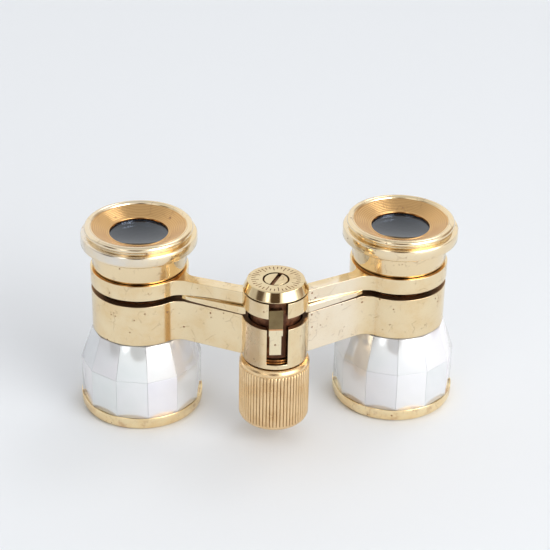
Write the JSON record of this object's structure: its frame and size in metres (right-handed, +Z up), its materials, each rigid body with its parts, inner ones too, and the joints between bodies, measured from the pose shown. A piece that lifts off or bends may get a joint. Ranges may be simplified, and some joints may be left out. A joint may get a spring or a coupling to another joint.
{
  "type": "opera glasses",
  "caption": "Small Galilean opera glasses with mother-of-pearl barrels, gilt brass bridges and eyecups, and a knurled centre knob that slides both eyepieces to focus.",
  "frame": {"origin": "middle of the overall box in X and Y, on the plane of the two objective rims that the glasses stand on", "axes": "+X from the left barrel to the right barrel, +Y away from the focusing hub, +Z up along the optical axes to the eyepieces"},
  "size_m": [0.0944, 0.0406, 0.0499],
  "materials": {
    "polished_gilt": "polished gold-plated brass with small tarnish specks",
    "eyecup_gilt": "gold-plated brass, turned, fine concentric tool grooves in the dish",
    "knurled_gilt": "gold-plated brass, straight knurl, worn satin",
    "tarnished_brass": "darkened turned brass",
    "mother_of_pearl": "polished mother-of-pearl plates, soft iridescence",
    "objective_glass": "clear polished optical glass",
    "eyepiece_glass": "polished optical glass that looks dark against the black tube",
    "spindle_steel": "turned steel",
    "black_lacquer": "matt black lacquer against stray light",
    "felt": "thin black felt"
  },
  "bodies": {
    "objective_body": {"lower_bridge": "polished_gilt", "hub_bush": "tarnished_brass", "barrel_left": "tarnished_brass", "barrel_right": "tarnished_brass", "pearl_lower_left": "mother_of_pearl", "pearl_lower_right": "mother_of_pearl", "pearl_upper_left": "mother_of_pearl", "pearl_upper_right": "mother_of_pearl", "rim_left": "polished_gilt", "rim_right": "polished_gilt", "objective_lens_left": "objective_glass", "objective_lens_right": "objective_glass", "objective_retainer_left": "black_lacquer", "objective_retainer_right": "black_lacquer", "draw_tube_seal_left": "felt", "draw_tube_seal_right": "felt"},
    "carriage": {"upper_bridge": "polished_gilt", "hub_cap": "polished_gilt", "cap_screw": "polished_gilt", "carriage_tube": "tarnished_brass", "guide_key": "polished_gilt", "eyecup_left": "eyecup_gilt", "eyecup_right": "eyecup_gilt", "eyepiece_tube_left": "tarnished_brass", "eyepiece_tube_right": "tarnished_brass", "eyepiece_lens_left": "eyepiece_glass", "eyepiece_lens_right": "eyepiece_glass", "eyepiece_retainer_left": "black_lacquer", "eyepiece_retainer_right": "black_lacquer"},
    "focus_drive": {"focus_knob": "knurled_gilt", "focus_spindle": "spindle_steel", "thrust_collar": "spindle_steel", "knob_end_screw": "polished_gilt"}
  },
  "joints": [
    {"name": "focus_slide", "type": "slide", "parent": "objective_body", "child": "carriage", "axis": [0, 0, 1], "range_m": [-0.0003, 0.0065]},
    {"name": "focus_turn", "type": "hinge", "parent": "objective_body", "child": "focus_drive", "pos_m": [0, -0.01175, 0.012], "axis": [0, 0, 1], "range_deg": [-392, 20]}
  ],
  "couplings": [
    {"joint": "focus_turn", "follows": "focus_slide", "rad_per_m": -1047.2}
  ]
}
